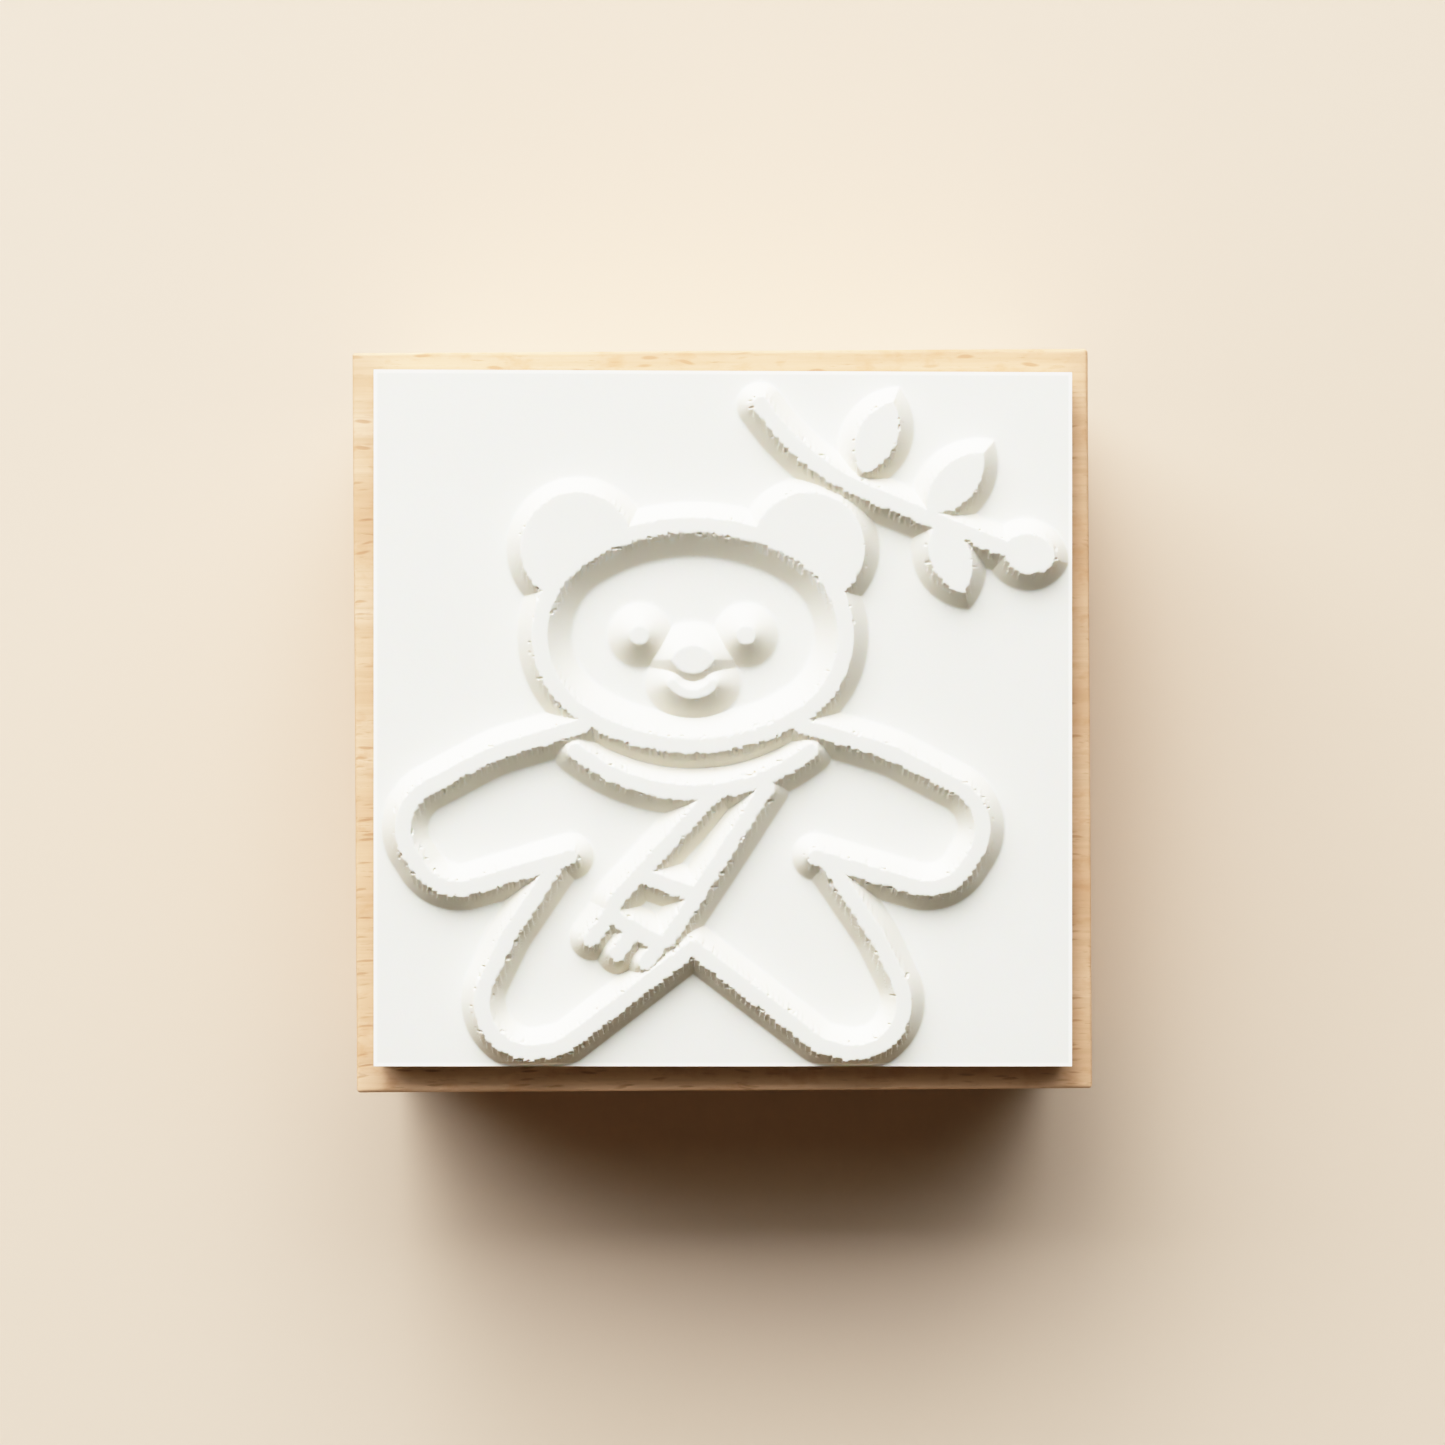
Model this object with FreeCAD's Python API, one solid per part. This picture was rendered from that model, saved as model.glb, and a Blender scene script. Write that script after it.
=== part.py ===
import FreeCAD, Part
import math
import os

# Wood-mounted rubber stamp, lying on its handle face with the printing face up.
#
# Frame: millimetres, +Z up. The origin is the middle of the block's plain
# handle face, which is the face it rests on; +Z runs towards the printing face,
# +X and +Y run along the block's sides, and +Y is the top of the artwork as it
# is seen on the die.
#
# From the bottom up: a hardwood block, a film of adhesive, a thin foam cushion,
# a second film of adhesive, and an engraved rubber die.

V = FreeCAD.Vector

# ---- driving dimensions (mm, degrees) ---------------------------------------
block_x = 50.0            # block, side to side
block_y = 50.3            # block, top to bottom of the artwork
block_z = 24.0            # block, handle face to mounting face
block_edge_round = 0.25   # sanded edges

film_t = 0.12             # each film of adhesive
foam_t = 1.5              # foam cushion
foam_inset = 0.18         # the foam is trimmed this far inside the die
film_inset = 0.05         # each film stops this far inside the foam

die_x = 46.8              # rubber die, side to side
die_y = 46.7              # rubber die, at its left side
die_top_drop = 0.19       # the top edge is cut out of square: lower at the right
die_base_t = 0.95         # rubber left under the engraving
relief_h = 1.35           # height of the printing lines over the engraved field
die_dx = 0.04             # die centre from block centre
die_dy = 0.18
die_turn = -0.35          # the die is glued on slightly turned

line_w = 1.05             # width of a printing line at its flat top
shoulder_w = 1.30         # how far each sloped shoulder spreads, top to field
sink = 0.30               # depth that each ridge is rooted into the die's base

# ---- heights -------------------------------------------------------------------
z_film_a = block_z
z_foam = z_film_a + film_t
z_film_b = z_foam + foam_t
z_die = z_film_b + film_t
z_field = z_die + die_base_t
z_top = z_field + relief_h

slope = shoulder_w / relief_h          # spread per mm of depth
z_root = z_field - sink
root_w = shoulder_w + slope * sink     # spread of a shoulder at its root

# ---- artwork, in the die's own plane (mm from the die's centre) ---------------
# A plain teddy bear with a scarf, and a leafy twig beside its head. It is drawn
# with lines of one width, made of arcs and straight runs, and a few solid areas.
fx = -2.0                 # the bear's middle line

head_c = (fx, 5.5)        # oval head: four tangent arcs
head_a = 10.2             # half width, to the middle of the line
head_b = 7.35             # half height
head_r1 = 6.2             # radius of the two side arcs

ear_r = 3.75              # solid round ears
ear_dx = 7.7
ear_y = 11.3

eye_r = 0.62
eye_dx = 3.55
eye_y = 5.5
nose_l = 2.9              # nose: a lens lying across the face
nose_w = 1.9
nose_y = 3.9
mouth_r = 1.75            # mouth: a short arc under the nose
mouth_y = 3.35
mouth_w = 0.62
mouth_a0, mouth_a1 = 218.0, 322.0


def oval_arcs(c, a, b, r1):
    """Four tangent arcs (centre, radius, start, end in degrees) of an oval."""
    c1 = a - r1
    k = b - r1
    c2 = (c1 * c1 - k * k) / (2 * k)
    r2 = b + c2
    t = math.degrees(math.atan2(c2, c1))     # where a side arc meets an end arc
    x, y = c
    return [
        ((x + c1, y), r1, -t, t),
        ((x, y - c2), r2, t, 180 - t),
        ((x - c1, y), r1, 180 - t, 180 + t),
        ((x, y + c2), r2, 180 + t, 360 - t),
    ]


head_arcs = oval_arcs(head_c, head_a, head_b, head_r1)


def mirror_x(chain):
    """The same chain of runs on the other side of the bear's middle line."""
    out = []
    for s in chain:
        if s[0] == "line":
            out.append(("line", (2 * fx - s[1][0], s[1][1]), (2 * fx - s[2][0], s[2][1])))
        else:
            out.append(("arc", (2 * fx - s[1][0], s[1][1]), s[2], 180 - s[4], 180 - s[3]))
    return out


def fillet_chain(points):
    """A run through corner points, each rounded with its own radius.

    points is a list of (x, y, radius); the first and last radii aren't used."""
    segs = []
    p = points
    start = (p[0][0], p[0][1])
    for i in range(1, len(p) - 1):
        ax, ay = p[i - 1][0], p[i - 1][1]
        bx, by, r = p[i]
        cx, cy = p[i + 1][0], p[i + 1][1]
        ux, uy = bx - ax, by - ay
        vx, vy = cx - bx, cy - by
        lu, lv = math.hypot(ux, uy), math.hypot(vx, vy)
        ux, uy, vx, vy = ux / lu, uy / lu, vx / lv, vy / lv
        turn = math.atan2(ux * vy - uy * vx, ux * vx + uy * vy)
        cut = r * math.tan(abs(turn) / 2)
        t0 = (bx - ux * cut, by - uy * cut)
        t1 = (bx + vx * cut, by + vy * cut)
        side = 1 if turn > 0 else -1
        c = (t0[0] - uy * r * side, t0[1] + ux * r * side)
        a0 = math.degrees(math.atan2(t0[1] - c[1], t0[0] - c[0]))
        a1 = a0 + math.degrees(turn)
        if math.hypot(t0[0] - start[0], t0[1] - start[1]) > 1e-6:
            segs.append(("line", start, t0))
        segs.append(("arc", c, r, min(a0, a1), max(a0, a1)))
        start = t1
    end = (p[-1][0], p[-1][1])
    if math.hypot(end[0] - start[0], end[1] - start[1]) > 1e-6:
        segs.append(("line", start, end))
    return segs


# Arm: out of the head, round the paw, and back to the side of the body.
arm_points = [
    (fx + 7.3, -0.55, 0),
    (fx + 13.2, -2.3, 9.0),
    (fx + 20.6, -6.2, 3.1),
    (fx + 17.0, -11.9, 3.1),
    (fx + 8.2, -9.3, 0),
]
# Leg: from the side of the body, round the foot, and up to the middle.
leg_points = [
    (fx + 9.15, -9.85, 0),
    (fx + 12.3, -14.6, 9.0),
    (fx + 16.6, -23.6, 3.3),
    (fx + 8.6, -21.9, 3.3),
    (fx + 0.0, -15.3, 0),
]
arm = fillet_chain(arm_points)
leg = fillet_chain(leg_points)

# Scarf: its lower edge hangs between the shoulders; one tail hangs aslant, with
# a stripe across it and three strands of fringe.
scarf_edge = [("arc", (fx, 7.6), 12.55, 231.5, 308.5)]
scarf_tail = fillet_chain([
    (fx + 1.5, -5.0, 0),
    (fx - 5.9, -13.0, 0.9),
    (fx - 1.9, -15.2, 0.9),
    (fx + 4.9, -4.7, 0),
])
scarf_stripe = [("line", (fx - 3.35, -10.55), (fx + 0.05, -11.75))]
scarf_fringe = [
    [("line", (fx - 5.45, -13.0), (fx - 6.75, -14.75))],
    [("line", (fx - 3.9, -14.2), (fx - 5.0, -15.7))],
    [("line", (fx - 2.2, -15.0), (fx - 3.1, -16.3))],
]

# Twig: a bowed stem, with solid leaves.
twig_stem = fillet_chain([
    (2.5, 20.9, 0),
    (5.6, 16.6, 16.0),
    (19.6, 10.9, 0),
])
leaf_w = 2.7
# Each leaf: foot point, direction in degrees, length.
twig_leaves = [
    (18.6, 11.3, -12.0, 3.6),
    (13.6, 13.5, 48.0, 5.6),
    (9.2, 16.3, 66.0, 5.2),
    (14.2, 13.0, -68.0, 5.0),
]

# ---- ridges ---------------------------------------------------------------------


def profile(r, w):
    """A ridge's section at radius r from an upright axis: flat top, sloped sides,
    rooted in the base. Where a side would pass the axis, it stops on it."""
    zt = z_top
    right = [(r + w / 2, zt), (r + w / 2 + root_w, z_root)]
    left_root = r - w / 2 - root_w
    if left_root >= 1e-4:
        pts = [(left_root, z_root), (r - w / 2, zt)] + right
    elif r - w / 2 > 1e-4:
        z_axis = zt - (r - w / 2) / slope
        pts = [(0, z_root), (0, z_axis), (r - w / 2, zt)] + right
    else:
        pts = [(0, z_root), (0, zt)] + right
    vs = [V(x, 0, z) for x, z in pts]
    return Part.Face(Part.makePolygon(vs + [vs[0]]))


def ridge_arc(c, r, a0, a1, w=line_w):
    f = profile(r, w)
    s = f.revolve(V(0, 0, 0), V(0, 0, 1), a1 - a0)
    s.rotate(V(0, 0, 0), V(0, 0, 1), a0)
    s.translate(V(c[0], c[1], 0))
    return s


def ridge_line(p, q, w=line_w):
    dx, dy = q[0] - p[0], q[1] - p[1]
    n = math.hypot(dx, dy)
    h, b = w / 2, w / 2 + root_w
    vs = [V(0, -b, z_root), V(0, -h, z_top), V(0, h, z_top), V(0, b, z_root)]
    s = Part.Face(Part.makePolygon(vs + [vs[0]])).extrude(V(n, 0, 0))
    s.rotate(V(0, 0, 0), V(0, 0, 1), math.degrees(math.atan2(dy, dx)))
    s.translate(V(p[0], p[1], 0))
    return s


def frustum(c, r):
    """A solid round area: flat top of radius r, sloped shoulder."""
    return Part.makeCone(r + root_w, r, z_top - z_root, V(c[0], c[1], z_root), V(0, 0, 1))


def ends_of(seg):
    if seg[0] == "line":
        return seg[1], seg[2]
    _, c, r, a0, a1 = seg
    a0, a1 = math.radians(a0), math.radians(a1)
    return ((c[0] + r * math.cos(a0), c[1] + r * math.sin(a0)),
            (c[0] + r * math.cos(a1), c[1] + r * math.sin(a1)))


def cap(p, away, w=line_w):
    """The rounded end of a ridge at p: half a frustum, facing away."""
    h, b = w / 2, w / 2 + root_w
    vs = [V(0, 0, z_root), V(0, 0, z_top), V(h, 0, z_top), V(b, 0, z_root)]
    s = Part.Face(Part.makePolygon(vs + [vs[0]])).revolve(V(0, 0, 0), V(0, 0, 1), 180)
    s.rotate(V(0, 0, 0), V(0, 0, 1), away - 90)
    s.translate(V(p[0], p[1], 0))
    return s


def tangent(seg, p):
    """Direction in degrees along seg at its end p, pointing out of seg."""
    a, b = ends_of(seg)
    at_a = math.hypot(p[0] - a[0], p[1] - a[1]) < 1e-4
    if seg[0] == "line":
        d = (a[0] - b[0], a[1] - b[1]) if at_a else (b[0] - a[0], b[1] - a[1])
        return math.degrees(math.atan2(d[1], d[0]))
    return seg[3] - 90 if at_a else seg[4] + 90


def near(p, q):
    return math.hypot(p[0] - q[0], p[1] - q[1]) < 1e-4


def ridge(chain, w=line_w):
    """One printing line: its runs share their end sections, and both ends are
    rounded."""
    bits = []
    for s in chain:
        if s[0] == "line":
            bits.append(ridge_line(s[1], s[2], w))
        else:
            bits.append(ridge_arc(s[1], s[2], s[3], s[4], w))
    a, b = ends_of(chain[0])
    if len(chain) == 1:
        start, end = a, b
    else:
        c, d = ends_of(chain[1])
        start = b if (near(a, c) or near(a, d)) else a
        e, f = ends_of(chain[-1])
        g, h = ends_of(chain[-2])
        end = f if (near(e, g) or near(e, h)) else e
    bits.append(cap(start, tangent(chain[0], start), w))
    bits.append(cap(end, tangent(chain[-1], end), w))
    return bits[0].fuse(bits[1:])


def lens(p, direction, length, width):
    """A solid leaf shape from foot point p: two equal drafted arcs."""
    s = width / 2
    r = (length * length / 4 + s * s) / (2 * s)
    t = math.radians(direction)
    mx, my = p[0] + math.cos(t) * length / 2, p[1] + math.sin(t) * length / 2
    nx, ny = -math.sin(t), math.cos(t)
    a = frustum((mx + nx * (r - s), my + ny * (r - s)), r)
    b = frustum((mx - nx * (r - s), my - ny * (r - s)), r)
    return a.common(b)


def oval_wire(arcs, offset, z):
    edges = []
    for c, r, a0, a1 in arcs:
        rr = r + offset
        p = [V(c[0] + rr * math.cos(math.radians(a)), c[1] + rr * math.sin(math.radians(a)), z)
             for a in (a0, (a0 + a1) / 2, a1)]
        edges.append(Part.Arc(p[0], p[1], p[2]).toShape())
    return Part.Wire(edges)


def check(name, shape):
    if not shape.isValid():
        raise RuntimeError(name + " is not valid")
    return shape


# The hollow of the face, with drafted sides: what the ears are trimmed to.
face_hollow = Part.makeLoft([
    oval_wire(head_arcs, -line_w / 2 + 0.02 * slope, z_top + 0.02),
    oval_wire(head_arcs, -line_w / 2 - root_w - 0.02 * slope, z_root - 0.02),
], True, True)

head_bits = [ridge_arc(c, r, a0, a1) for c, r, a0, a1 in head_arcs]
head_ridge = check("head", head_bits[0].fuse(head_bits[1:]))

ears = []
for side in (-1, 1):
    e = frustum((fx + side * ear_dx, ear_y), ear_r)
    ears.append(check("ear", e.cut(face_hollow)))

eyes = [frustum((fx + side * eye_dx, eye_y), eye_r) for side in (-1, 1)]
nose = lens((fx - nose_l / 2, nose_y), 0.0, nose_l, nose_w)
mouth = ridge([("arc", (fx, mouth_y), mouth_r, mouth_a0, mouth_a1)], mouth_w)

ridges = [head_ridge] + ears + eyes + [nose, mouth]
for chain in [arm, mirror_x(arm), leg, mirror_x(leg), scarf_edge, scarf_tail, scarf_stripe] + scarf_fringe + [twig_stem]:
    ridges.append(check("ridge", ridge(chain)))
for x, y, d, n in twig_leaves:
    ridges.append(check("leaf", lens((x, y), d, n, leaf_w)))


def die_outline(z, inset=0.0):
    hx, hy = die_x / 2 - inset, die_y / 2 - inset
    pts = [V(-hx, -hy, z), V(hx, -hy, z), V(hx, hy - die_top_drop, z), V(-hx, hy, z)]
    return Part.Face(Part.makePolygon(pts + [pts[0]]))


def place(shape):
    """From the die's own plane to the block's frame."""
    shape.rotate(V(0, 0, 0), V(0, 0, 1), die_turn)
    shape.translate(V(die_dx, die_dy, 0))
    return shape


plate = die_outline(z_die).extrude(V(0, 0, die_base_t))
relief = ridges[0]
for r in ridges[1:]:                  # one at a time: each joint stays clean
    relief = relief.fuse(r)
relief = relief.common(die_outline(z_root - 1).extrude(V(0, 0, z_top - z_root + 2)))
die = plate.fuse(relief).removeSplitter()
if die.ShapeType != "Solid":
    die = die.Solids[0] if len(die.Solids) == 1 else die
rubber_die = place(check("rubber_die", die))

foam = place(die_outline(z_foam, foam_inset).extrude(V(0, 0, foam_t)))
film_a = place(die_outline(z_film_a, foam_inset + film_inset).extrude(V(0, 0, film_t)))
film_b = place(die_outline(z_film_b, foam_inset + film_inset).extrude(V(0, 0, film_t)))

block = Part.makeBox(block_x, block_y, block_z, V(-block_x / 2, -block_y / 2, 0))
block = check("wooden_block", block.makeFillet(block_edge_round, block.Edges))

nodes = {
    "wooden_block": block,
    "block_adhesive_film": film_a,
    "foam_cushion": foam,
    "die_adhesive_film": film_b,
    "rubber_die": rubber_die,
}

os.makedirs("parts", exist_ok=True)
for name, shape in nodes.items():
    check(name, shape)
    b = shape.BoundBox
    print("%-22s %s solids=%d faces=%d vol=%.1f  x %.2f..%.2f y %.2f..%.2f z %.2f..%.2f" % (
        name, shape.ShapeType, len(shape.Solids), len(shape.Faces), shape.Volume,
        b.XMin, b.XMax, b.YMin, b.YMax, b.ZMin, b.ZMax))
    shape.exportStep("parts/" + name + ".step")
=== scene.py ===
import math

import bmesh
import bpy
import numpy as np
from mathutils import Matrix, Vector


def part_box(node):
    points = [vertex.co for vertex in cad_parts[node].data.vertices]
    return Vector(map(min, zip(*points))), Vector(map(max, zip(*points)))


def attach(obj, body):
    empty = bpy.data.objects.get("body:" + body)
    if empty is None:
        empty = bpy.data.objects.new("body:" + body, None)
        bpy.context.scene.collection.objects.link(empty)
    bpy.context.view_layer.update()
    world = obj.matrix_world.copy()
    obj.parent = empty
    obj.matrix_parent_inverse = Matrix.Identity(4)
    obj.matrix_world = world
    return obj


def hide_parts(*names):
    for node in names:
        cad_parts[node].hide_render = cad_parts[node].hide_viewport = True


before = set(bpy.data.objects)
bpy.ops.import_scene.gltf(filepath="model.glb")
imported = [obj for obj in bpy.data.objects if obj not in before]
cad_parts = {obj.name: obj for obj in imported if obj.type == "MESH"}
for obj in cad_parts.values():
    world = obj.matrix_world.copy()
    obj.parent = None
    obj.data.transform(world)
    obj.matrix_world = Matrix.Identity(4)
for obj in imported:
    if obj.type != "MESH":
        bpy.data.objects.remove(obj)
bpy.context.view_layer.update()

MM = 0.001
scene = bpy.context.scene

# ---------------------------------------------------------------------------
# sizes, in millimetres, as in the CAD model
# ---------------------------------------------------------------------------
LINE_W = 1.05
SHOULDER = 1.30
RELIEF = 1.35
DIE_X, DIE_Y, DIE_DROP = 46.8, 46.7, 0.19
DIE_DX, DIE_DY, DIE_TURN = 0.04, 0.18, math.radians(-0.35)
FX = -2.0
EDGE_R = 0.25                      # rounding of the block's edges

blk = [np.array(v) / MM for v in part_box("wooden_block")]
foam = [np.array(v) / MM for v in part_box("foam_cushion")]
die = [np.array(v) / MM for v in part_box("rubber_die")]
Z_TOP = float(die[1][2])
Z_DIE = float(die[0][2])
Z_FIELD = Z_TOP - RELIEF
BLOCK_Z = float(blk[1][2])


# ---------------------------------------------------------------------------
# camera, light and floor
# ---------------------------------------------------------------------------
IMG = 1445.0
F_PX = 2870.0                      # focal length in pixels of the full frame
CAM_H = 0.219                      # above the floor
cam_data = bpy.data.cameras.new("camera")
cam_data.sensor_fit = "HORIZONTAL"
cam_data.sensor_width = 36.0
cam_data.lens = 36.0 * F_PX / IMG
cam_data.clip_start = 0.01
cam_data.clip_end = 20.0
cam = bpy.data.objects.new("camera", cam_data)
scene.collection.objects.link(cam)
cam.location = (0.000014, -0.000130, CAM_H)
cam.rotation_euler = (0.0, 0.0, math.radians(-0.35))
scene.camera = cam


def area_light(name, at, target, sx, sy, watts, colour=(1, 1, 1)):
    data = bpy.data.lights.new(name, "AREA")
    data.shape = "RECTANGLE"
    data.size, data.size_y = sx, sy
    data.energy = watts
    data.color = colour
    ob = bpy.data.objects.new(name, data)
    scene.collection.objects.link(ob)
    ob.location = at
    ob.rotation_euler = (Vector(target) - Vector(at)).to_track_quat("-Z", "Y").to_euler()
    return ob


def window(name, d, elev, half, x0, x1, radiance, colour=(1, 1, 1), side=1):
    """A soft source like a stretch of window: projected elevation elev +- half
    degrees, from x0 to x1 times the distance, of the given radiance. It stands
    on the +Y side, or with side -1 on the -Y side."""
    e = math.radians(elev)
    sy = 2 * d * math.tan(math.radians(half))
    sx = (x1 - x0) * d
    cx = (x0 + x1) / 2 * d
    at = Vector((cx, side * d * math.cos(e), d * math.sin(e)))
    data = bpy.data.lights.new(name, "AREA")
    data.shape = "RECTANGLE"
    data.size, data.size_y = sx, sy
    data.energy = radiance * math.pi * sx * sy
    data.color = colour
    ob = bpy.data.objects.new(name, data)
    scene.collection.objects.link(ob)
    ob.location = at
    ob.rotation_euler = (Vector((cx, 0, 0)) - at).to_track_quat("-Z", "Y").to_euler()
    return ob


WHITE = 0.86                       # overall strength of the windows
window("window_wide", 1.15, 44.0, 18.0, -1.30, 0.40, 4.05 * WHITE, (1.0, 0.998, 0.99))
window("window_bright", 1.15, 41.0, 27.0, -0.36, -0.02, 5.10 * WHITE, (1.0, 0.998, 0.99))
window("window_far", 1.15, 38.0, 24.0, -1.60, 0.90, 2.20 * WHITE, (1.0, 0.995, 0.98))
window("window_top", 1.15, 66.0, 9.0, -0.60, 0.44, 1.35 * WHITE, (1.0, 0.995, 0.98))
window("room_warm", 1.5, 22.0, 12.0, -1.2, 1.2, 0.17, (1.0, 0.80, 0.52), side=-1)

world = bpy.data.worlds.new("world")
scene.world = world
world.use_nodes = True
bg = world.node_tree.nodes["Background"]
bg.inputs["Color"].default_value = (1.0, 0.93, 0.58, 1)
bg.inputs["Strength"].default_value = 0.034
# the room lights the stamp only weakly, but the background behind it is pale
wt = world.node_tree
pale = wt.nodes.new("ShaderNodeBackground")
pale.inputs["Color"].default_value = (0.93, 0.79, 0.61, 1)
pale.inputs["Strength"].default_value = 1.0
path = wt.nodes.new("ShaderNodeLightPath")
both = wt.nodes.new("ShaderNodeMixShader")
wt.links.new(path.outputs["Is Camera Ray"], both.inputs[0])
wt.links.new(bg.outputs[0], both.inputs[1])
wt.links.new(pale.outputs[0], both.inputs[2])
wt.links.new(both.outputs[0], wt.nodes["World Output"].inputs["Surface"])
scene.view_settings.view_transform = "Standard"
scene.view_settings.look = "None"
scene.view_settings.exposure = 0.0
scene.view_settings.gamma = 1.0


def tone_curve(k=2.0, g=1.3, lit=0.86, white=3.0):
    """A bright, soft print-like response, from scene values 0 to white."""
    c = lit / (1 - math.exp(-k))
    vs = scene.view_settings
    vs.use_curve_mapping = True
    cm = vs.curve_mapping
    cm.black_level = (0, 0, 0)
    cm.white_level = (white, white, white)
    cm.clip_max_x = cm.clip_max_y = 1.0
    cm.extend = "HORIZONTAL"
    curve = cm.curves[3]
    xs = [0.0, 0.008, 0.02, 0.04, 0.07, 0.1, 0.14, 0.18, 0.23, 0.28, 0.34, 0.4, 0.5, 0.62, 0.8, 1.0]
    ys = [c * (1 - math.exp(-k * (x * white) ** g)) for x in xs]
    while len(curve.points) < len(xs):
        curve.points.new(0.5, 0.5)
    for i, (px, py) in enumerate(zip(xs, ys)):
        curve.points[i].location = (px, min(py, 1.0))
        curve.points[i].handle_type = "AUTO_CLAMPED"
    cm.update()


tone_curve()


# ---------------------------------------------------------------------------
# node helpers
# ---------------------------------------------------------------------------
class Mat:
    def __init__(self, name):
        self.m = bpy.data.materials.new(name)
        self.m.use_nodes = True
        self.t = self.m.node_tree
        self.t.nodes.clear()
        self.out = self.t.nodes.new("ShaderNodeOutputMaterial")
        self.b = self.t.nodes.new("ShaderNodeBsdfPrincipled")
        self.t.links.new(self.b.outputs["BSDF"], self.out.inputs["Surface"])
        self.co = self.t.nodes.new("ShaderNodeTexCoord").outputs["Object"]

    def link(self, a, b):
        self.t.links.new(a, b)

    def put(self, sock, v):
        if isinstance(v, bpy.types.NodeSocket):
            self.link(v, sock)
        elif v is not None:
            sock.default_value = v

    def scale(self, sx, sy, sz, rot=(0, 0, 0), src=None, loc=(0, 0, 0)):
        n = self.t.nodes.new("ShaderNodeMapping")
        n.inputs["Scale"].default_value = (sx, sy, sz)
        n.inputs["Rotation"].default_value = rot
        n.inputs["Location"].default_value = loc
        self.link(src or self.co, n.inputs["Vector"])
        return n.outputs["Vector"]

    def noise(self, vec, scale=1.0, detail=2.0, rough=0.5, dist=0.0, lac=2.0, out="Fac"):
        n = self.t.nodes.new("ShaderNodeTexNoise")
        n.inputs["Scale"].default_value = scale
        n.inputs["Detail"].default_value = detail
        n.inputs["Roughness"].default_value = rough
        n.inputs["Lacunarity"].default_value = lac
        n.inputs["Distortion"].default_value = dist
        self.link(vec, n.inputs["Vector"])
        return n.outputs[out]

    def voronoi(self, vec, scale=1.0, feature="F1", rnd=1.0, out="Distance", smooth=None):
        n = self.t.nodes.new("ShaderNodeTexVoronoi")
        n.feature = feature
        n.inputs["Scale"].default_value = scale
        n.inputs["Randomness"].default_value = rnd
        if smooth is not None:
            n.inputs["Smoothness"].default_value = smooth
        self.link(vec, n.inputs["Vector"])
        return n.outputs[out]

    def math(self, op, a, b=None, c=None, clamp=False):
        n = self.t.nodes.new("ShaderNodeMath")
        n.operation = op
        n.use_clamp = clamp
        for s, v in zip(n.inputs, (a, b, c)):
            self.put(s, v)
        return n.outputs[0]

    def vmath(self, op, a, b=None):
        n = self.t.nodes.new("ShaderNodeVectorMath")
        n.operation = op
        self.put(n.inputs[0], a)
        if b is not None:
            self.put(n.inputs[1], b)
        return n.outputs["Value"] if op in ("LENGTH", "DOT_PRODUCT", "DISTANCE") else n.outputs["Vector"]

    def split(self, v):
        n = self.t.nodes.new("ShaderNodeSeparateXYZ")
        self.link(v, n.inputs[0])
        return n.outputs

    def join(self, x, y, z):
        n = self.t.nodes.new("ShaderNodeCombineXYZ")
        for s, v in zip(n.inputs, (x, y, z)):
            self.put(s, v)
        return n.outputs[0]

    def ramp(self, fac, stops, mode="LINEAR"):
        n = self.t.nodes.new("ShaderNodeValToRGB")
        n.color_ramp.interpolation = mode
        e = n.color_ramp.elements
        while len(e) < len(stops):
            e.new(0.5)
        for i, (p, c) in enumerate(stops):
            e[i].position = p
            e[i].color = (*c, 1) if len(c) == 3 else c
        self.link(fac, n.inputs[0])
        return n.outputs["Color"]

    def fit(self, v, a, b, c=0.0, d=1.0, smooth=False):
        n = self.t.nodes.new("ShaderNodeMapRange")
        n.interpolation_type = "SMOOTHSTEP" if smooth else "LINEAR"
        n.clamp = True
        for s, x in zip(n.inputs, (v, a, b, c, d)):
            self.put(s, x)
        return n.outputs[0]

    def mix(self, fac, a, b, mode="MIX"):
        n = self.t.nodes.new("ShaderNodeMix")
        n.data_type = "RGBA"
        n.blend_type = mode
        n.clamp_factor = True
        ins = [s for s in n.inputs if s.type == "RGBA"]
        self.put(n.inputs[0], fac)
        self.put(ins[0], a if isinstance(a, bpy.types.NodeSocket) else (*a, 1))
        self.put(ins[1], b if isinstance(b, bpy.types.NodeSocket) else (*b, 1))
        return [s for s in n.outputs if s.type == "RGBA"][0]

    def bump(self, height, distance, strength=1.0, normal=None):
        n = self.t.nodes.new("ShaderNodeBump")
        n.inputs["Strength"].default_value = strength
        n.inputs["Distance"].default_value = distance
        self.link(height, n.inputs["Height"])
        if normal is not None:
            self.link(normal, n.inputs["Normal"])
        return n.outputs["Normal"]

    def geo_normal(self):
        return self.t.nodes.new("ShaderNodeNewGeometry").outputs["True Normal"]

    def attr(self, name, out="Fac"):
        n = self.t.nodes.new("ShaderNodeAttribute")
        n.attribute_name = name
        return n.outputs[out]


def new_object(name, verts, faces, smooth=True):
    me = bpy.data.meshes.new(name)
    me.from_pydata([tuple(v) for v in verts], [], faces)
    me.validate()
    ob = bpy.data.objects.new(name, me)
    scene.collection.objects.link(ob)
    if smooth:
        me.polygons.foreach_set("use_smooth", [True] * len(me.polygons))
    return ob


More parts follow.
